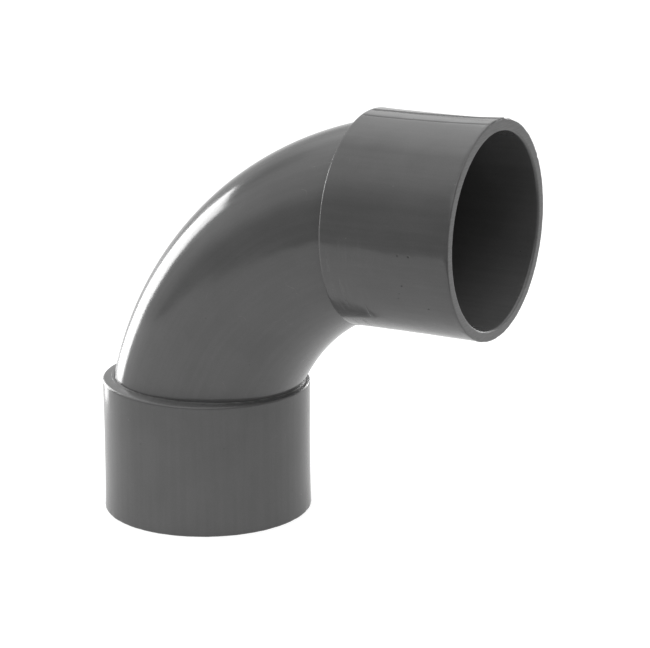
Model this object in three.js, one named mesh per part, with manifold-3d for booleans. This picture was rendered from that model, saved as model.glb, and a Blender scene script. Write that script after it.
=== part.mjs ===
// Swept 90 degree elbow for 50 mm rigid PVC conduit: a bent tube with a socket sleeve bonded on each end.
// Millimetres, +Z up. The elbow stands on the mouth of its lower socket, and its upper socket opens
// along +X. Both sockets are the same piece, and so are both cement films.
import * as THREE from "three";
import { mergeVertices } from "three/addons/utils/BufferGeometryUtils.js";
import Module from "manifold-3d";

const wasm = await Module();
wasm.setup();

// Driving dimensions
const TUBE_RADIUS = 25; // outside of the bent tube, the same as the 50 mm conduit
const TUBE_WALL = 2.8;
const BEND_RADIUS = 76; // centreline radius of the bend, about 1.5 tube diameters
const BEND_CENTRE = 73; // from either socket axis to the centre of the bend

const SOCKET_RADIUS = 28.2; // outside of a socket
const SOCKET_LENGTH = 36.4;
const SOCKET_DEPTH = 30; // from the mouth to the stop, how far the conduit goes in
const SOCKET_BORE_RADIUS = 25.2; // at the stop
const MOUTH_BORE_RADIUS = 25.5; // at the mouth: the bore tapers for an interference fit
const MOUTH_CHAMFER = 0.5; // lead-in for the conduit
const MOUTH_EDGE = 0.3; // broken outer edge of the mouth
const SHOULDER_FILLET = 1; // rounded outer edge of the shoulder
const SHOULDER_TO_CORNER = 50; // from a shoulder to the point where the two socket axes cross

const SEAT_CLEARANCE = 0.5; // between the tube and the socket's seat, which the cement film fills
const FILM_THICKNESS = 0.2;
const FILM_RECESS = 0.8; // the film ends this far below the shoulder, which leaves the crevice open
const CUT_GAP = 0.3; // end play between the tube, the film and the socket

// Facets
const ROUND_SEGMENTS = 48;
const BEND_SEGMENTS = 96; // of a full ring
const FILLET_STEPS = 3;

// Worked out from the above
const CORNER = SOCKET_LENGTH + SHOULDER_TO_CORNER; // from a mouth to the crossing of the socket axes
const BEND_CENTRE_HEIGHT = CORNER - BEND_CENTRE;
const TUBE_END = SOCKET_DEPTH + CUT_GAP;
const FILM_MIDDLE_RADIUS = TUBE_RADIUS + SEAT_CLEARANCE / 2;
const CENTRING = (SOCKET_RADIUS - CORNER) / 2; // puts the origin under the middle of the elbow
const FAR = 150; // larger than the elbow, for cutting boxes

// A closed three.js geometry as a solid that can be cut and joined.
function solid(geometry) {
  const bare = geometry.clone();
  bare.deleteAttribute("normal");
  bare.deleteAttribute("uv");
  const merged = mergeVertices(bare, 1e-4);
  return new wasm.Manifold(
    new wasm.Mesh({
      numProp: 3,
      vertProperties: merged.attributes.position.array,
      triVerts: new Uint32Array(merged.index.array),
    }),
  );
}

// A solid as a three.js geometry with flat-shaded facets.
function geometryOf(body) {
  const mesh = body.getMesh();
  const indexed = new THREE.BufferGeometry();
  indexed.setAttribute("position", new THREE.BufferAttribute(mesh.vertProperties, 3));
  indexed.setIndex(new THREE.BufferAttribute(mesh.triVerts, 1));
  const faceted = indexed.toNonIndexed();
  faceted.computeVertexNormals();
  return faceted;
}

// The solid ring whose quarter is the bend, with the given radius of its round section.
function bendRing(sectionRadius) {
  const ring = new THREE.TorusGeometry(BEND_RADIUS, sectionRadius, ROUND_SEGMENTS, BEND_SEGMENTS);
  ring.rotateX(Math.PI / 2);
  ring.translate(BEND_CENTRE, 0, BEND_CENTRE_HEIGHT);
  return solid(ring);
}

// A box between two corners.
function block(low, high) {
  const size = high.clone().sub(low);
  const box = new THREE.BoxGeometry(size.x, size.y, size.z);
  box.translate(...low.clone().add(high).multiplyScalar(0.5));
  return solid(box);
}

// The tube, cut square to each socket at its stop, so that its end faces stop the conduit.
function bendTube() {
  const low = new THREE.Vector3(-FAR, -FAR, TUBE_END);
  const high = new THREE.Vector3(CORNER - TUBE_END, FAR, FAR);
  return bendRing(TUBE_RADIUS)
    .subtract(bendRing(TUBE_RADIUS - TUBE_WALL))
    .intersect(block(low, high));
}

// The outline of a socket from the axis at its stop, round its mouth and back to the axis at its shoulder.
function socketOutline() {
  const outline = [
    new THREE.Vector2(0, SOCKET_DEPTH),
    new THREE.Vector2(SOCKET_BORE_RADIUS, SOCKET_DEPTH),
    new THREE.Vector2(MOUTH_BORE_RADIUS, MOUTH_CHAMFER),
    new THREE.Vector2(MOUTH_BORE_RADIUS + MOUTH_CHAMFER, 0),
    new THREE.Vector2(SOCKET_RADIUS - MOUTH_EDGE, 0),
    new THREE.Vector2(SOCKET_RADIUS, MOUTH_EDGE),
  ];
  for (let step = 0; step <= FILLET_STEPS; step += 1) {
    const turn = (Math.PI / 2) * (step / FILLET_STEPS);
    const radius = SOCKET_RADIUS - SHOULDER_FILLET * (1 - Math.cos(turn));
    const height = SOCKET_LENGTH - SHOULDER_FILLET * (1 - Math.sin(turn));
    outline.push(new THREE.Vector2(radius, height));
  }
  outline.push(new THREE.Vector2(0, SOCKET_LENGTH));
  return outline;
}

// A socket with its mouth down, its closed end cut to seat the tube, which enters it leaning inwards.
function socket() {
  const turned = new THREE.LatheGeometry(socketOutline(), ROUND_SEGMENTS);
  turned.rotateX(Math.PI / 2);
  const low = new THREE.Vector3(-FAR, -FAR, SOCKET_DEPTH);
  const high = new THREE.Vector3(FAR, FAR, FAR);
  const seat = bendRing(TUBE_RADIUS + SEAT_CLEARANCE).intersect(block(low, high));
  return solid(turned).subtract(seat);
}

// The thin band of cured cement between the tube and the socket's seat.
function cementFilm() {
  const low = new THREE.Vector3(-SOCKET_RADIUS, -SOCKET_RADIUS, TUBE_END + CUT_GAP);
  const high = new THREE.Vector3(SOCKET_RADIUS, SOCKET_RADIUS, SOCKET_LENGTH - FILM_RECESS);
  return bendRing(FILM_MIDDLE_RADIUS + FILM_THICKNESS / 2)
    .subtract(bendRing(FILM_MIDDLE_RADIUS - FILM_THICKNESS / 2))
    .intersect(block(low, high));
}

function named(name, geometry, color, roughness) {
  const mesh = new THREE.Mesh(
    geometry,
    new THREE.MeshStandardMaterial({ color, roughness, metalness: 0 }),
  );
  mesh.name = name;
  return mesh;
}

const PVC_GREY = 0x646567;
const CEMENT_GREY = 0x4a4b4d;
const socketGeometry = geometryOf(socket());
const filmGeometry = geometryOf(cementFilm());

// One end of the elbow: a socket and the film that bonds it to the tube.
function end(side) {
  const group = new THREE.Group();
  group.add(named(side + "_socket", socketGeometry.clone(), PVC_GREY, 0.38));
  group.add(named(side + "_cement_film", filmGeometry.clone(), CEMENT_GREY, 0.5));
  return group;
}

// The upper end is the lower end turned half a turn about the elbow's diagonal.
const upperEnd = end("upper");
upperEnd.position.set(CORNER, 0, CORNER);
upperEnd.quaternion.setFromAxisAngle(new THREE.Vector3(1, 0, -1).normalize(), Math.PI);

const elbow = new THREE.Group();
elbow.add(named("bend_tube", geometryOf(bendTube()), PVC_GREY, 0.32));
elbow.add(end("lower"));
elbow.add(upperEnd);
elbow.position.x = CENTRING;

const part = new THREE.Group();
part.add(elbow);

export default part;
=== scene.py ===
"""Looks for the swept PVC conduit elbow: smooth moulded pieces over the CAD bodies, and a white studio.

Everything is in metres, in the frame's axes. A piece is first worked out in the elbow's own plan, whose
x = 0 is the lower socket's axis, and is then moved to where the frame has that axis. Each point also
carries the place it would have on a straight pipe along +Z, so that streaks and scuffs follow the pipe.
"""
import math

import bmesh
import bpy
import numpy as np
from mathutils import Matrix, Vector, noise


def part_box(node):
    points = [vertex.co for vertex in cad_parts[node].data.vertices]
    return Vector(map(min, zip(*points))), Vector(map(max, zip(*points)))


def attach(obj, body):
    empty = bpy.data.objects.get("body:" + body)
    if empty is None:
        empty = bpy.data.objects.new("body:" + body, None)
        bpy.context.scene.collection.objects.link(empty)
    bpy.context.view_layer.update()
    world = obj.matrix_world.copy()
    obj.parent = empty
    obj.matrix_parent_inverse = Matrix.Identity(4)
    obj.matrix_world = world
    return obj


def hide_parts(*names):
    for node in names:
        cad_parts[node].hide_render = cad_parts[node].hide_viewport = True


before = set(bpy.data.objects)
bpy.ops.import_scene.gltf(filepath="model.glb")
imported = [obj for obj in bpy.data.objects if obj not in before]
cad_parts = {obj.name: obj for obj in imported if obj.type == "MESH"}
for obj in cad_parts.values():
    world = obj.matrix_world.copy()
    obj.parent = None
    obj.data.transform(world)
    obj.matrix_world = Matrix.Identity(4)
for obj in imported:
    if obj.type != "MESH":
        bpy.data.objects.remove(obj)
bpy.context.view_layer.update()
MM = 0.001

# ---------------------------------------------------------------- camera

VIEW_AZIMUTH = math.radians(28.8)  # from +Y towards -X
VIEW_ELEVATION = math.radians(15.5)  # looking down
VIEW_ROLL = math.radians(-0.21)
VIEW_DISTANCE = 0.6974
VIEW_TARGET = Vector((0.00625, 0.00268, 0.05491))
LENS_MM = 145.86
SENSOR_MM = 36


def view_axes():
    """The camera's right, up and forward directions."""
    level_forward = Vector((-math.sin(VIEW_AZIMUTH), math.cos(VIEW_AZIMUTH), 0))
    forward = math.cos(VIEW_ELEVATION) * level_forward - math.sin(VIEW_ELEVATION) * Vector((0, 0, 1))
    level_right = Vector((math.cos(VIEW_AZIMUTH), math.sin(VIEW_AZIMUTH), 0))
    upright = level_right.cross(forward)
    right = math.cos(VIEW_ROLL) * level_right + math.sin(VIEW_ROLL) * upright
    return right, right.cross(forward), forward


def make_camera():
    """A long lens at the photograph's viewing angle, with no shift."""
    right, up, forward = view_axes()
    data = bpy.data.cameras.new("camera")
    data.lens = LENS_MM
    data.sensor_width = SENSOR_MM
    camera = bpy.data.objects.new("camera", data)
    bpy.context.scene.collection.objects.link(camera)
    turn = Matrix((right, up, -forward)).transposed().to_4x4()
    camera.matrix_world = Matrix.Translation(VIEW_TARGET - forward * VIEW_DISTANCE) @ turn
    bpy.context.scene.camera = camera


make_camera()

# ---------------------------------------------------------------- sizes

SOCKET_LOW, SOCKET_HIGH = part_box("lower_socket")
TUBE_LOW, TUBE_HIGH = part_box("bend_tube")
FILM_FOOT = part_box("lower_cement_film")[0].z
AXIS_X = (SOCKET_LOW.x + SOCKET_HIGH.x) / 2
SOCKET_RADIUS = (SOCKET_HIGH.y - SOCKET_LOW.y) / 2
SOCKET_LENGTH = SOCKET_HIGH.z - SOCKET_LOW.z
TUBE_RADIUS = (TUBE_HIGH.y - TUBE_LOW.y) / 2
TUBE_END = TUBE_LOW.z
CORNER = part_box("upper_socket")[1].x - AXIS_X  # from a mouth to the crossing of the socket axes

# The tube and the seat that it is glued into.
BEND_RADIUS = 76 * MM
BEND_CENTRE = 73 * MM  # from either socket axis
CENTRE_HEIGHT = CORNER - BEND_CENTRE
TUBE_WALL = 2.8 * MM
TUBE_EDGE = 0.3 * MM
SEAT_RADIUS = TUBE_RADIUS + 0.15 * MM
STOP = TUBE_END - 0.3 * MM  # height of the ledge that the tube's end rests on

# The sockets' walls and mouths.
WAIST = 0.12 * MM  # a socket draws in this much halfway up
LOWER_FLARE = 0.12 * MM  # the lower socket swells this much all round its mouth
UPPER_FLARE = 0.38 * MM  # and the upper one this much on the outside of the bend
FLARE_LENGTH = 12 * MM
LOWER_MOUTH_EDGE, UPPER_MOUTH_EDGE = 0.6 * MM, 0.4 * MM  # rounding of the rim's outer edge
STOP_BORE_RADIUS = 25.2 * MM
MOUTH_BORE_RADIUS = 25.35 * MM
MOUTH_CHAMFER = 0.7 * MM
RIM_RAGGED = 0.025 * MM
RIM_WAVES = ((23, 0), (41, 1), (67, 2))  # how many fit round the rim, and where each starts in radians

# The sockets' shoulders.
SHOULDER_FILLET = 0.7 * MM
SHOULDER_SLOPE = math.radians(15)  # of the shoulder where it meets its fillet
SHOULDER_CUT_AND_LIGHTENED = 0.6  # the shoulder is turned less roughly than the mouth, which is 1; its lighter cut tone also paints light onto a face the tube shades
SHOULDER_LEAN = 0.7 * MM  # the lower shoulder is out of square by this much either way
SHOULDER_LOW = 0.05 * MM  # and this much low
LEAN_SIDE = math.radians(30)  # and lowest on this side, from +X towards +Y
LEAST_FILLET_COSINE = math.sin(SHOULDER_SLOPE)  # where the whole fillet fits
MOST_FILLET_COSINE = 0.98  # where the seat leaves next to none of it
CREST_EDGE = 0.05 * MM  # rounding of the seat's rim at the shoulder

# The cement's bead on each shoulder.
BEAD_RISE = 0.16 * MM  # up the tube
BEAD_WIDTH = 0.6 * MM  # out over the shoulder
# The pooled bead's lighter tone paints light into the crevice that the overhang shades.
BEAD_POOL = 0.35 * MM  # added to both on the inside of the bend, under the tube's overhang
POOL_FADE = 4  # the higher, the narrower that side is
BEAD_UNEVEN = 0.2
BEAD_WAVES = ((5, 1), (11, 0), (17, 2))
CEMENT_GAP = 0.02 * MM

# Along the top of the upper socket run a mould seam and a score line, each from the shoulder to the mouth.
SEAM_LINE = (math.radians(178), math.radians(185.5))
SEAM_RISE = 0.22 * MM
SEAM_FRONT = 0.14 * MM  # the seam is steep towards the camera's side
SEAM_BACK = 1.4 * MM  # and shallow behind
SCORE_LINE = (math.radians(168.3), math.radians(170.8))
SCORE_DEPTH = 0.2 * MM
SCORE_WIDTH = 0.22 * MM
LINE_WANDER = 0.005  # radians either way
WANDER_LENGTH = 5 * MM
NICK_SIDE = math.radians(238.5)  # a nick in the rim of the upper mouth
NICK_DEPTH = 0.3 * MM
NICK_WIDTH = 0.45 * MM

# Formed PVC is never quite true: the skins wave in and out, with finer waves on top of the long ones.
FINE_WAVE = 0.4  # as deep and as long as the long ones
RIM_STILL = 2 * MM  # the waves grow from nothing over this distance from a mouth

# ---------------------------------------------------------------- mesh rows and columns

EVEN_COLUMNS = 240
MARKED_SIDE = (math.radians(165.5), math.radians(190))  # where the seam and the score line are
MARKED_COLUMNS = 70
TUBE_ROWS = 132
FLARE_ROWS = 12
WALL_ROWS = 40
SEAT_ROWS = 12
BORE_ROWS = 30
FILLET_ROWS = 10
CHAMFER_ROWS = 5
EDGE_ROWS = 4
TUBE_EDGE_ROWS = 3
FACE_ROWS = 6
REACH_LIMITS = (20 * MM, 32 * MM)  # every reach from a socket's axis is between these
HALVINGS = 40
SAME_POINT = 0.002 * MM  # points closer than this are joined
SHORTEST_EDGE = 0.001 * MM


def columns():
    """Angles round a section in even steps, with closer ones on the marked side."""
    even = np.linspace(0, 2 * math.pi, EVEN_COLUMNS, endpoint=False)
    start, end = MARKED_SIDE
    even = even[(even < start) | (even > end)]
    return np.sort(np.concatenate((even, np.linspace(start, end, MARKED_COLUMNS))))


TURN = columns()
AROUND = len(TURN)
OUTER_SIDE = (1 - np.cos(TURN)) / 2  # 1 on the outside of the bend, 0 on the inside


def shares(steps):
    """From 0 to 1 in equal steps."""
    return [step / steps for step in range(steps + 1)]


def quarter(steps):
    """Angles of a quarter turn in equal steps."""
    return [math.pi / 2 * share for share in shares(steps)]


def spread(start, end, steps):
    """Values from start to end in equal steps, without the last."""
    return [start + (end - start) * share for share in shares(steps)[:-1]]


def ripple(waves):
    """Waves round a section, added up. Each is given as how many fit round and where it starts."""
    return sum(np.sin(count * TURN + start) for count, start in waves)


# ---------------------------------------------------------------- mesh tools


class Skin:
    """Rows of points in a closed loop, each with its place on a straight pipe and how machined it is."""

    def __init__(self):
        self.points, self.pipe, self.machined = [], [], []

    def add(self, points, pipe, machined=0.0):
        """A row of points round the pipe."""
        self.points.append(points)
        self.pipe.append(pipe)
        self.machined.append(np.full(AROUND, machined))

    def add_ring(self, radius, height, machined=0.0):
        """A ring round the socket's axis, whose radius and height may differ from side to side."""
        points = np.stack((radius * np.cos(TURN), radius * np.sin(TURN), height + 0 * TURN), axis=-1)
        self.add(points, points, machined)

    def half_turned(self):
        """The same skin at the other end of the elbow: half a turn about its diagonal."""
        other = Skin()
        other.pipe, other.machined = self.pipe, self.machined
        for points in self.points:
            x, y, z = points.T
            other.points.append(np.stack((CORNER - z, -y, CORNER - x), axis=-1))
        return other

    def to_object(self, name):
        """A closed mesh object with smooth faces, in the frame."""
        rows = len(self.points)
        index = np.arange(rows * AROUND).reshape(rows, AROUND)
        right, below = np.roll(index, -1, axis=1), np.roll(index, -1, axis=0)
        quads = np.stack((index, right, np.roll(right, -1, axis=0), below), axis=-1).reshape(-1, 4)
        mesh = bpy.data.meshes.new(name)
        points = np.concatenate(self.points) + np.array((AXIS_X, 0, 0))
        mesh.from_pydata(points.tolist(), [], quads.tolist())
        pipe = mesh.attributes.new("pipe", "FLOAT_VECTOR", "POINT")
        pipe.data.foreach_set("vector", np.concatenate(self.pipe).ravel())
        machined = mesh.attributes.new("machined", "FLOAT", "POINT")
        machined.data.foreach_set("value", np.concatenate(self.machined))
        close_up(mesh)
        piece = bpy.data.objects.new(name, mesh)
        bpy.context.scene.collection.objects.link(piece)
        return piece


def close_up(mesh):
    """Joins points that fall together, and turns the faces outwards."""
    body = bmesh.new()
    body.from_mesh(mesh)
    bmesh.ops.remove_doubles(body, verts=body.verts, dist=SAME_POINT)
    bmesh.ops.dissolve_degenerate(body, edges=body.edges, dist=SHORTEST_EDGE)
    if body.calc_volume(signed=True) < 0:
        bmesh.ops.reverse_faces(body, faces=body.faces)
    body.to_mesh(mesh)
    body.free()
    mesh.shade_smooth()


def undulate(mesh, depth, span, shift):
    """Moves a skin in and out a little in waves of about this span. The mouth's rim stays flat."""
    pipe = mesh.attributes["pipe"].data
    normals = [vertex.normal.copy() for vertex in mesh.vertices]
    for vertex, normal, place in zip(mesh.vertices, normals, pipe):
        fade = min(1.0, max(0.0, place.vector.z / RIM_STILL))
        long_wave = noise.noise(vertex.co / span + shift)
        fine_wave = noise.noise(vertex.co / (span * FINE_WAVE) + shift)
        vertex.co += normal * depth * fade * (long_wave + FINE_WAVE * fine_wave)


# ---------------------------------------------------------------- the bent tube


def ring_points(radius, angle):
    """Points round the bend's section of the given radius, at an angle up the bend from level."""
    reach = BEND_RADIUS + radius * np.cos(TURN)
    x = BEND_CENTRE - reach * np.cos(angle)
    z = CENTRE_HEIGHT + reach * np.sin(angle)
    return np.stack((x, radius * np.sin(TURN), z), axis=-1)


def level_angle(radius, height):
    """The angle at which each line along the bend reaches a height."""
    return np.arcsin((height - CENTRE_HEIGHT) / (BEND_RADIUS + radius * np.cos(TURN)))


def end_face(start, end):
    """Radii and insets across the tube's end face, from one rounded edge to the other."""
    inwards = 1 if start > end else -1
    angles = quarter(TUBE_EDGE_ROWS)
    rounding = [(TUBE_EDGE * (1 - math.cos(a)), TUBE_EDGE * (1 - math.sin(a))) for a in angles]
    first = [(start - inwards * across, inset) for across, inset in rounding]
    last = [(end + inwards * across, inset) for across, inset in reversed(rounding)]
    return first + last


def bend_tube_skin():
    """The tube's skin: its outside going up, the upper end face, its inside going down, the lower one."""
    skin = Skin()
    inner = TUBE_RADIUS - TUBE_WALL
    along_wall = shares(TUBE_ROWS)[1:-1]

    def add(radius, angle):
        across = np.stack((-radius * np.cos(TURN), radius * np.sin(TURN)), axis=-1)
        along = (BEND_RADIUS * angle + STOP + 0 * TURN)[:, None]
        skin.add(ring_points(radius, angle), np.concatenate((across, along), axis=-1))

    def add_wall(radius, along):
        low = level_angle(radius, TUBE_END + TUBE_EDGE)
        high = math.pi / 2 - low
        for share in along:
            add(radius, low + (high - low) * share)

    add_wall(TUBE_RADIUS, along_wall)
    for radius, inset in end_face(TUBE_RADIUS, inner):
        add(radius, math.pi / 2 - level_angle(radius, TUBE_END + inset))
    add_wall(inner, reversed(along_wall))
    for radius, inset in end_face(inner, TUBE_RADIUS):
        add(radius, level_angle(radius, TUBE_END + inset))
    return skin


# ---------------------------------------------------------------- the sockets


def reach_to(radius, height):
    """How far from the socket's axis the bend's surface of this radius is, all round, at a height."""
    near, far = (np.full(AROUND, limit) for limit in REACH_LIMITS)
    for _ in range(HALVINGS):
        reach = (near + far) / 2
        x, y = reach * np.cos(TURN), reach * np.sin(TURN)
        ring = np.hypot(x - BEND_CENTRE, height - CENTRE_HEIGHT) - BEND_RADIUS
        inside = np.hypot(ring, y) < radius
        near, far = np.where(inside, reach, near), np.where(inside, far, reach)
    return (near + far) / 2


def outer_radius(height, flare):
    """The socket's outside, drawn in at the middle and flared at its mouth."""
    share = height / SOCKET_LENGTH
    swell = flare * np.maximum(0.0, 1 - height / FLARE_LENGTH) ** 2
    return SOCKET_RADIUS - WAIST * 4 * share * (1 - share) + swell


def line_offset(ends, height):
    """Distance round the socket from a line that wanders a little from its shoulder to its mouth."""
    shoulder_end, mouth_end = ends
    line = mouth_end + (shoulder_end - mouth_end) * height / SOCKET_LENGTH
    return (TURN - line - LINE_WANDER * np.sin(height / WANDER_LENGTH)) * SOCKET_RADIUS


def no_marks(height):
    """What a plain socket's marks add to its radius."""
    return 0.0


def upper_marks(height):
    """What the upper socket's marks add to its radius at a height: a seam, a score line and a nick."""
    seam = line_offset(SEAM_LINE, height)
    mark = SEAM_RISE * np.exp(-(seam / np.where(seam < 0, SEAM_FRONT, SEAM_BACK)) ** 2)
    mark = mark - SCORE_DEPTH * np.exp(-(line_offset(SCORE_LINE, height) / SCORE_WIDTH) ** 2)
    nick = (TURN - NICK_SIDE) * SOCKET_RADIUS
    return mark - NICK_DEPTH * np.exp(-(nick / NICK_WIDTH) ** 2 - (height / NICK_WIDTH) ** 2)


def leaning_shoulder():
    """Height of the lower shoulder in each direction round the axis."""
    return SOCKET_LENGTH - SHOULDER_LOW - SHOULDER_LEAN * np.cos(TURN - LEAN_SIDE)


def fillet_turn(shoulder):
    """How far round the shoulder's fillet runs. Where the seat cuts into the fillet, it stops sooner."""
    fillet_centre = SOCKET_RADIUS - SHOULDER_FILLET
    cosine = (reach_to(SEAT_RADIUS, shoulder) + CREST_EDGE - fillet_centre) / SHOULDER_FILLET
    return np.arccos(np.clip(cosine, LEAST_FILLET_COSINE, MOST_FILLET_COSINE))


def add_mouth_edge(skin, rim, mouth_edge):
    """The rounded edge from the mouth's face, which ends at this rim radius, to the outside."""
    for angle in quarter(EDGE_ROWS):
        height = mouth_edge * (1 - math.cos(angle))
        skin.add_ring(rim + mouth_edge * math.sin(angle), height, 1 - math.sin(angle))


def add_outside(skin, shoulder, flare, mouth_edge, marks):
    """The outside, the shoulder's fillet, its slightly sloping face and the seat's rim."""
    turn = fillet_turn(shoulder)
    fillet_end = outer_radius(SOCKET_LENGTH, flare) - SHOULDER_FILLET * (1 - np.cos(turn))
    crest = np.minimum(reach_to(SEAT_RADIUS, shoulder) + CREST_EDGE, fillet_end)
    fall = math.tan(SHOULDER_SLOPE) / 2 * (fillet_end - crest)
    fillet_foot = shoulder - fall - SHOULDER_FILLET * np.sin(turn)
    flared = spread(mouth_edge, FLARE_LENGTH, FLARE_ROWS)[1:]
    for height in flared + spread(FLARE_LENGTH, fillet_foot, WALL_ROWS):
        skin.add_ring(outer_radius(height, flare) + marks(height), height)
    for share in shares(FILLET_ROWS):
        radius = fillet_end + SHOULDER_FILLET * (np.cos(turn * share) - np.cos(turn))
        skin.add_ring(radius, fillet_foot + SHOULDER_FILLET * np.sin(turn * share), SHOULDER_CUT_AND_LIGHTENED * share)
    for share in shares(FACE_ROWS)[1:]:
        radius = fillet_end + (crest - fillet_end) * share
        skin.add_ring(radius, shoulder - fall * (1 - share) ** 2, SHOULDER_CUT_AND_LIGHTENED)
    for angle in quarter(EDGE_ROWS)[1:]:
        skin.add_ring(crest - CREST_EDGE * math.sin(angle), shoulder - CREST_EDGE * (1 - math.cos(angle)))


def add_seat(skin, shoulder):
    """The seat that holds the tube, and half of the ledge at its foot."""
    top = shoulder - CREST_EDGE
    for share in shares(SEAT_ROWS)[1:]:
        height = top + (STOP - top) * share
        skin.add_ring(reach_to(SEAT_RADIUS, height), height)
    skin.add_ring((reach_to(SEAT_RADIUS, STOP) + STOP_BORE_RADIUS) / 2, STOP)


def add_bore(skin, rim):
    """The bore below the ledge, the rounded inner edge of the mouth, and the mouth's face."""
    for share in shares(BORE_ROWS):
        radius = STOP_BORE_RADIUS + (MOUTH_BORE_RADIUS - STOP_BORE_RADIUS) * share
        skin.add_ring(radius, STOP + (MOUTH_CHAMFER - STOP) * share)
    for angle in quarter(CHAMFER_ROWS)[1:]:
        across, inset = MOUTH_CHAMFER * (1 - math.cos(angle)), MOUTH_CHAMFER * (1 - math.sin(angle))
        skin.add_ring(MOUTH_BORE_RADIUS + across, inset, math.sin(angle) ** 2)
    edge = MOUTH_BORE_RADIUS + MOUTH_CHAMFER
    for share in shares(FACE_ROWS)[1:-1]:
        skin.add_ring(edge + (rim - edge) * share, 0, 1.0)


def socket_skin(shoulder, flare, mouth_edge, marks=no_marks):
    """The socket's skin: from its mouth up the outside, over the shoulder, down the seat and the bore."""
    skin = Skin()
    rim = outer_radius(0, flare) + marks(0) + RIM_RAGGED * ripple(RIM_WAVES) - mouth_edge
    add_mouth_edge(skin, rim, mouth_edge)
    add_outside(skin, shoulder, flare, mouth_edge, marks)
    add_seat(skin, shoulder)
    add_bore(skin, rim)
    return skin


# ---------------------------------------------------------------- the cement


def cement_skin(shoulder):
    """The cement between the tube and the seat, with a thin uneven bead squeezed out onto the shoulder."""
    skin = Skin()
    pooled = BEAD_POOL * (1 - OUTER_SIDE) ** POOL_FADE
    rise = BEAD_RISE * (1 + BEAD_UNEVEN * ripple(BEAD_WAVES)) + pooled
    tube_side, seat_side = TUBE_RADIUS + CEMENT_GAP, SEAT_RADIUS - CEMENT_GAP
    lie = shoulder + CEMENT_GAP
    start = reach_to(tube_side, shoulder)
    toe = reach_to(SEAT_RADIUS, shoulder) + BEAD_WIDTH + pooled

    for share in shares(SEAT_ROWS)[:-1]:
        height = FILM_FOOT + (lie + rise - FILM_FOOT) * share
        skin.add_ring(reach_to(tube_side, height), height)
    for share in shares(FACE_ROWS):
        height = lie + rise * (1 - share) ** 2
        skin.add_ring(np.maximum(start + (toe - start) * share, reach_to(tube_side, height)), height)
    skin.add_ring(reach_to(seat_side, shoulder), lie)
    for share in reversed(shares(SEAT_ROWS)[:-1]):
        height = FILM_FOOT + (shoulder - CREST_EDGE - FILM_FOOT) * share
        skin.add_ring(reach_to(seat_side, height), height)
    return skin


# ---------------------------------------------------------------- materials

# Linear greys. A cut surface is the sawn mouth or, in part, the faced shoulder, where the lighter cut tone
# also paints light onto a face the tube shades.
PVC_TONE = 0.108
CUT_TONE = 0.145
# The cement's grey is set lighter than the PVC to paint light into the shaded crevice where it lies.
CEMENT_LIGHTENED_TONE = 0.13
CLOUD_SWING, STREAK_SWING, GRAIN_SWING = 0.05, 0.03, 0.03  # of the tone either way, as a share of it
CUT_SWING, CEMENT_SWING = 0.15, 0.2

PVC_ROUGHNESS = (0.135, 0.1725)  # from the darkest patches of its clouding to the lightest
STREAK_ROUGHNESS = 0.015  # either way
CUT_ROUGHNESS = 0.45
CEMENT_ROUGHNESS = (0.28, 0.42)
PVC_IOR = 1.54

# Heights of the fine relief, in millimetres.
SKIN_RELIEF = 0.006
STREAK_RELIEF = 0.003
CUT_RELIEF = 0.03
CEMENT_RELIEF = 0.05

# What a mark adds where it is strongest: to the tone as a share of it, to the roughness, and to the height
# in millimetres.
MARKS = {
    "speck": (0.8, 0, 0),
    "hairline": (0.1, 0.1, -0.004),
    "pit": (-0.225, 0.09, -0.036),
    "knock": (-0.6, 0, -0.12),
    "rub": (0.15, 0.16, -0.012),
}
HAIRLINE_EDGES = (0.0008, 0.0022)  # how far from a noise's middle value a hairline fades
HAIRLINE_CLOUD = (0.52, 0.62)  # hairlines appear where the clouding passes these values

# About how far apart the features of each noise are.
CLOUD_SIZE = 14 * MM
STREAK_SIZE = 1.4 * MM
GRAIN_SIZE = 0.35 * MM
SKIN_SIZE = 1.6 * MM
SAW_SIZE = 0.25 * MM
HAIR_SIZE = 9 * MM
SCUFF_SIZE, SCUFF_PATCH_SIZE = 1.2 * MM, 6 * MM
FLOW_SIZE = 1.5 * MM

# Places are scaled by these before a noise is taken, which draws its features out along the small ones.
STREAKED = (1, 1, 0.04)
HAIR_DRAWN = (1, 1, 0.35)
SAWN = (1, 0.05, 1)
SCUFFED_ROUND = (0.06, 0.06, 1)

NOISE_SPAN = (0.3, 0.7)  # a noise's low and high values
NOISE_MIDDLE = 0.5
DOT_CORE = 0.4  # share of a dot's radius where it is at full strength

# Where the upper socket is rubbed and knocked: on one side, between these heights from its mouth. Each pair
# is where the marks fade.
RUBBED_SIDE = (0.55, 0.83, 0)  # towards the front and a little to the inside of the bend
RUBBED_EDGES = (0.72 * SOCKET_RADIUS, 0.95 * SOCKET_RADIUS)
RUB_FOOT, RUB_TOP = (20 * MM, 27 * MM), (34 * MM, 36 * MM)
KNOCK_FOOT, KNOCK_TOP = (2 * MM, 4 * MM), (13 * MM, 17 * MM)
SCUFF_LINES = (0.46, 0.66)  # noise values over which a scuff appears
SCUFF_PATCHES = (0.4, 0.6)  # and over which a patch of them does


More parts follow.
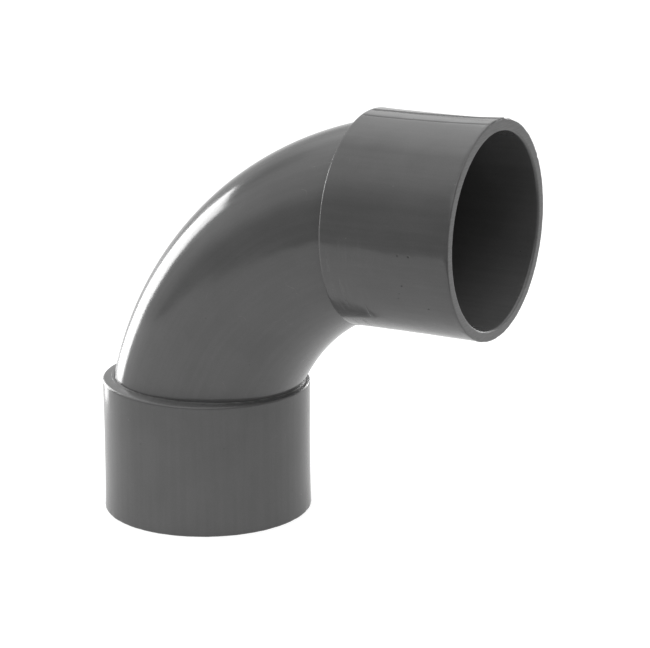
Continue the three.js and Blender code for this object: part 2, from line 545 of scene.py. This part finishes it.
class Nodes:
    """Short calls for building a node tree."""

    def __init__(self, tree):
        self.tree = tree
        tree.nodes.clear()

    def add(self, kind, inputs=(), **settings):
        """A node of this kind. An input is another node's output, which is linked, or a plain value."""
        node = self.tree.nodes.new(kind)
        for key, value in settings.items():
            setattr(node, key, value)
        for socket, value in dict(inputs).items():
            if isinstance(value, bpy.types.NodeSocket):
                self.tree.links.new(value, node.inputs[socket])
            else:
                node.inputs[socket].default_value = value
        return node

    def math(self, operation, first, second=0.0):
        return self.add("ShaderNodeMath", {0: first, 1: second}, operation=operation).outputs[0]

    def vector_math(self, operation, first, second, output="Vector"):
        return self.add("ShaderNodeVectorMath", {0: first, 1: second}, operation=operation).outputs[output]

    def attribute(self, name, output):
        return self.add("ShaderNodeAttribute", attribute_name=name).outputs[output]

    def noise(self, vector, size, detail=2.0, roughness=0.5):
        """Noise from 0 to 1 whose features are about size metres across."""
        inputs = {"Vector": vector, "Scale": 1 / size, "Detail": detail, "Roughness": roughness}
        return self.add("ShaderNodeTexNoise", inputs).outputs["Fac"]

    def between(self, value, low, high, start=0.0, end=1.0):
        """start where value is low, end where it is high, and a smooth blend in between."""
        inputs = {"Value": value, "From Min": low, "From Max": high, "To Min": start, "To Max": end}
        return self.add("ShaderNodeMapRange", inputs, interpolation_type="SMOOTHSTEP").outputs["Result"]

    def vary(self, cloud, start, end):
        """From start to end, as a noise goes from its low values to its high ones."""
        return self.between(cloud, *NOISE_SPAN, start, end)

    def swing(self, cloud, middle, share):
        """A value that a noise makes smaller and larger by a share of it."""
        return self.vary(cloud, middle * (1 - share), middle * (1 + share))

    def band(self, value, foot, top):
        """1 between foot and top, which are both a pair of values over which it fades to 0."""
        return self.math("MULTIPLY", self.between(value, *foot), self.between(value, *top, 1, 0))

    def dots(self, vector, spacing, radius, seed):
        """1 inside sparse round spots, 0 elsewhere."""
        moved = self.vector_math("ADD", vector, (seed, seed, seed))
        cells = self.add("ShaderNodeTexVoronoi", {"Vector": moved, "Scale": 1 / spacing})
        return self.between(cells.outputs["Distance"], DOT_CORE * radius / spacing, radius / spacing, 1, 0)

    def mix(self, share, first, second):
        """first where share is 0, second where it is 1."""
        return self.add("ShaderNodeMix", {0: share, 2: first, 3: second}).outputs[0]

    def surface(self, tone, roughness, height, distance, **settings):
        """A grey glossy surface, whose relief is height times distance."""
        colour = self.add("ShaderNodeCombineColor", {0: tone, 1: tone, 2: tone}).outputs[0]
        bump = self.add("ShaderNodeBump", {"Height": height, "Strength": 1.0, "Distance": distance})
        inputs = {"Base Color": colour, "Roughness": roughness, "Normal": bump.outputs["Normal"]}
        shader = self.add("ShaderNodeBsdfPrincipled", {**inputs, **settings})
        self.add("ShaderNodeOutputMaterial", {"Surface": shader.outputs["BSDF"]})


def new_material(name):
    material = bpy.data.materials.new(name)
    material.use_nodes = True
    return material, Nodes(material.node_tree)


def facing_side(n, pipe, side):
    """1 on the side of the socket that this direction points to, 0 elsewhere."""
    return n.between(n.vector_math("DOT_PRODUCT", pipe, side, "Value"), *RUBBED_EDGES)


def height_on(n, pipe):
    """Distance along the pipe from the mouth."""
    return n.add("ShaderNodeSeparateXYZ", {0: pipe}).outputs["Z"]


def rub_marks(n, pipe, side):
    """Scuffs round the socket near its shoulder, on one side."""
    lines = n.noise(n.vector_math("MULTIPLY", pipe, SCUFFED_ROUND), SCUFF_SIZE, detail=3, roughness=0.6)
    patches = n.between(n.noise(pipe, SCUFF_PATCH_SIZE, detail=3), *SCUFF_PATCHES)
    lines = n.math("MULTIPLY", n.between(lines, *SCUFF_LINES), patches)
    near_shoulder = n.band(height_on(n, pipe), RUB_FOOT, RUB_TOP)
    return n.math("MULTIPLY", lines, n.math("MULTIPLY", facing_side(n, pipe, side), near_shoulder))


def knock_marks(n, pipe, side):
    """A few pits knocked into the same side, near the mouth."""
    dots = n.dots(pipe, spacing=3.4 * MM, radius=0.42 * MM, seed=5.1)
    near_mouth = n.band(height_on(n, pipe), KNOCK_FOOT, KNOCK_TOP)
    return n.math("MULTIPLY", dots, n.math("MULTIPLY", facing_side(n, pipe, side), near_mouth))


def hairline_marks(n, pipe, cloud):
    """Fine scratches along the lines where a noise passes its middle value, in patches."""
    hair = n.noise(n.vector_math("MULTIPLY", pipe, HAIR_DRAWN), HAIR_SIZE, detail=1)
    from_middle = n.math("ABSOLUTE", n.math("SUBTRACT", hair, NOISE_MIDDLE))
    hairline = n.between(from_middle, *HAIRLINE_EDGES, 1, 0)
    return n.math("MULTIPLY", hairline, n.between(cloud, *HAIRLINE_CLOUD))


def pvc_marks(n, pipe, cloud, rubbed_side):
    """The marks of a PVC surface by their names in MARKS, each from 0 to 1."""
    marks = {
        "speck": n.dots(pipe, spacing=6 * MM, radius=0.16 * MM, seed=1.3),
        "hairline": hairline_marks(n, pipe, cloud),
        "pit": n.dots(pipe, spacing=7 * MM, radius=0.28 * MM, seed=3.7),
    }
    if rubbed_side:
        marks["knock"] = knock_marks(n, pipe, rubbed_side)
        marks["rub"] = rub_marks(n, pipe, rubbed_side)
    return marks


def pvc_material(name, rubbed_side=None):
    """Grey moulded PVC: faint streaks along the pipe, mottling, small marks, and coarser cut surfaces,
    whose lighter tone on the shoulder is partly painted light.
    """
    material, n = new_material(name)
    pipe = n.attribute("pipe", "Vector")
    cut = n.attribute("machined", "Fac")
    cloud = n.noise(pipe, CLOUD_SIZE, detail=3)
    streak = n.noise(n.vector_math("MULTIPLY", pipe, STREAKED), STREAK_SIZE)
    grain = n.noise(pipe, GRAIN_SIZE)
    skin = n.noise(pipe, SKIN_SIZE)
    saw = n.noise(n.vector_math("MULTIPLY", pipe, SAWN), SAW_SIZE, detail=3)

    tone = n.math("MULTIPLY", n.swing(cloud, 1, CLOUD_SWING), n.swing(streak, 1, STREAK_SWING))
    tone = n.math("MULTIPLY", tone, n.swing(grain, 1, GRAIN_SWING))
    gloss = n.vary(streak, -STREAK_ROUGHNESS, STREAK_ROUGHNESS)
    gloss = n.math("ADD", n.vary(cloud, *PVC_ROUGHNESS), gloss)
    height = n.math("ADD", n.math("MULTIPLY", skin, SKIN_RELIEF), n.math("MULTIPLY", streak, STREAK_RELIEF))
    for mark, strength in pvc_marks(n, pipe, cloud, rubbed_side).items():
        tone_share, roughness, relief = MARKS[mark]
        tone = n.math("ADD", tone, n.math("MULTIPLY", strength, tone_share))
        gloss = n.math("ADD", gloss, n.math("MULTIPLY", strength, roughness))
        height = n.math("ADD", height, n.math("MULTIPLY", strength, relief))

    # Cut surfaces take the lighter cut tone; on the shoulder it partly paints light onto a shaded face.
    tone = n.mix(cut, n.math("MULTIPLY", tone, PVC_TONE), n.swing(saw, CUT_TONE, CUT_SWING))
    gloss = n.mix(cut, gloss, CUT_ROUGHNESS)
    height = n.mix(cut, height, n.math("MULTIPLY", saw, CUT_RELIEF))
    n.surface(tone, gloss, height, MM, IOR=PVC_IOR)
    return material


def cement_material():
    """Set solvent cement, a little lighter than the PVC, with a wavy satin skin; the lighter tone paints
    light into the shaded crevice it fills.
    """
    material, n = new_material("solvent_cement")
    flow = n.noise(n.attribute("pipe", "Vector"), FLOW_SIZE, detail=3)
    tone = n.swing(flow, CEMENT_LIGHTENED_TONE, CEMENT_SWING)
    n.surface(tone, n.vary(flow, *CEMENT_ROUGHNESS), flow, CEMENT_RELIEF * MM)
    return material


# ---------------------------------------------------------------- pieces


def add_piece(name, skin, node, material):
    """Puts a skin in the scene as one piece, in place of the CAD node that it dresses."""
    piece = skin.to_object(name)
    piece.data.materials.append(material)
    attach(piece, "root")
    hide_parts(node)
    return piece


PVC = pvc_material("pvc_grey")
RUBBED_PVC = pvc_material("pvc_grey_rubbed", RUBBED_SIDE)
CEMENT = cement_material()
LEANING = leaning_shoulder()
SQUARE = np.full(AROUND, SOCKET_LENGTH)
LOWER_SKIN = socket_skin(LEANING, LOWER_FLARE, LOWER_MOUTH_EDGE)
UPPER_SKIN = socket_skin(SQUARE, UPPER_FLARE * OUTER_SIDE, UPPER_MOUTH_EDGE, upper_marks).half_turned()
LOWER_CEMENT = cement_skin(LEANING)
UPPER_CEMENT = cement_skin(SQUARE).half_turned()

tube = add_piece("bend_tube_skin", bend_tube_skin(), "bend_tube", PVC)
lower = add_piece("lower_socket_skin", LOWER_SKIN, "lower_socket", PVC)
upper = add_piece("upper_socket_skin", UPPER_SKIN, "upper_socket", RUBBED_PVC)
add_piece("lower_cement_skin", LOWER_CEMENT, "lower_cement_film", CEMENT)
add_piece("upper_cement_skin", UPPER_CEMENT, "upper_cement_film", CEMENT)
undulate(tube.data, depth=0.02 * MM, span=12 * MM, shift=Vector((3.1, 0.4, 7.7)))
undulate(lower.data, depth=0.02 * MM, span=10 * MM, shift=Vector((1.7, 5.2, 0.3)))
undulate(upper.data, depth=0.055 * MM, span=8 * MM, shift=Vector((8.4, 2.6, 4.9)))

# ---------------------------------------------------------------- studio

TABLE_EDGE = 0.141  # from the frame's origin to the table's near edge
TABLE_EDGE_AZIMUTH = 139.5
TABLE_SIZE = 8.0
TABLE_TONE = 0.35
TABLE_GLOW = 0.57  # the table is lit from below as well
SEEN_GLOW = 0.85  # and the camera sees this instead, which overexposes it

# Soft lights far away: azimuth from +Y towards +X and elevation in degrees, the angles from their middle
# at which they start to fade and are gone, and their radiance where a white card's is about 1.
SOFT_LIGHTS = {
    "overhead": (-60, 90, 10, 60, 0.54),
    "top_back": (-40, 50, 8, 32, 0.9),
    "back_left": (-45, 12, 12, 30, 0.35),
    "horizon": (-20, -12, 8, 34, 0.5),
    "backdrop": (8, 0, 12, 27, 1.5),
    "window": (2, 5, 6, 10, 7),
    "left": (-105, 40, 10, 34, 0.64),
    "left_low": (-95, 8, 5, 17, 0.3),
    "top_glow": (-31, 21, 4, 9, 0.7),
    "right": (60, 55, 12, 40, 0.9),
    "camera": (150, 50, 12, 40, 0.43),
    "front": (-175, 45, 10, 30, 0.7),
}
ROOM_GLOW = 0.21


def compass(azimuth, elevation):
    """A direction: azimuth in degrees from +Y towards +X, elevation in degrees."""
    a, e = math.radians(azimuth), math.radians(elevation)
    return Vector((math.sin(a) * math.cos(e), math.cos(a) * math.cos(e), math.sin(e)))


def table_material():
    """A pale surface that glows a little, and more so to the camera."""
    material, n = new_material("floor")
    lit = n.add("ShaderNodeBsdfDiffuse", {"Color": (TABLE_TONE, TABLE_TONE, TABLE_TONE, 1)})
    glowing = []
    for strength in (TABLE_GLOW, SEEN_GLOW):
        glow = n.add("ShaderNodeEmission", {"Strength": strength})
        glowing.append(n.add("ShaderNodeAddShader", {0: glow.outputs[0], 1: lit.outputs[0]}))
    table, overexposed = glowing
    seen = n.add("ShaderNodeLightPath").outputs["Is Camera Ray"]
    mix = n.add("ShaderNodeMixShader", {0: seen, 1: table.outputs[0], 2: overexposed.outputs[0]})
    n.add("ShaderNodeOutputMaterial", {"Surface": mix.outputs[0]})
    return material


def make_floor():
    """A white table top with a straight near edge. The camera sees it overexposed, with a faint shadow."""
    towards = compass(TABLE_EDGE_AZIMUTH, 0)
    side = Vector((-towards.y, towards.x, 0)) * TABLE_SIZE
    near, far = towards * TABLE_EDGE, -towards * TABLE_SIZE
    mesh = bpy.data.meshes.new("floor")
    mesh.from_pydata([near + side, near - side, far - side, far + side], [], [(3, 2, 1, 0)])
    floor = bpy.data.objects.new("floor", mesh)
    bpy.context.scene.collection.objects.link(floor)
    mesh.materials.append(table_material())


def make_world():
    """Soft lights round a dim room. The camera sees plain white."""
    world = bpy.data.worlds.new("studio")
    bpy.context.scene.world = world
    world.use_nodes = True
    n = Nodes(world.node_tree)
    direction = n.add("ShaderNodeTexCoord").outputs["Generated"]
    total = ROOM_GLOW
    for azimuth, elevation, fade, end, radiance in SOFT_LIGHTS.values():
        aim = n.vector_math("DOT_PRODUCT", direction, compass(azimuth, elevation), "Value")
        edge, middle = math.cos(math.radians(end)), math.cos(math.radians(fade))
        total = n.math("ADD", n.between(aim, edge, middle, 0, radiance), total)
    room = n.add("ShaderNodeBackground", {"Color": (1, 1, 1, 1), "Strength": total})
    white = n.add("ShaderNodeBackground", {"Color": (1, 1, 1, 1), "Strength": 1.0})
    seen = n.add("ShaderNodeLightPath").outputs["Is Camera Ray"]
    mix = n.add("ShaderNodeMixShader", {0: seen, 1: room.outputs[0], 2: white.outputs[0]})
    n.add("ShaderNodeOutputWorld", {"Surface": mix.outputs[0]})


def make_panel(name, x, y, width, height, radiance, azimuth):
    """An upright light panel standing on the table, which shines towards this azimuth."""
    data = bpy.data.lights.new(name, "AREA")
    data.shape = "RECTANGLE"
    data.size = width
    data.size_y = height
    data.energy = radiance * math.pi * width * height
    panel = bpy.data.objects.new(name, data)
    bpy.context.scene.collection.objects.link(panel)
    panel.location = (x, y, height / 2)
    panel.rotation_euler = (-compass(azimuth, 0)).to_track_quat("Z", "Y").to_euler()
    panel.visible_camera = False


make_floor()
make_world()
make_panel("tall_panel", x=-0.239, y=0.061, width=0.098, height=0.172, radiance=6.8, azimuth=90)
make_panel("low_panel", x=-0.141, y=0.025, width=0.026, height=0.016, radiance=2.8, azimuth=114)
bpy.context.scene.view_settings.view_transform = "Standard"
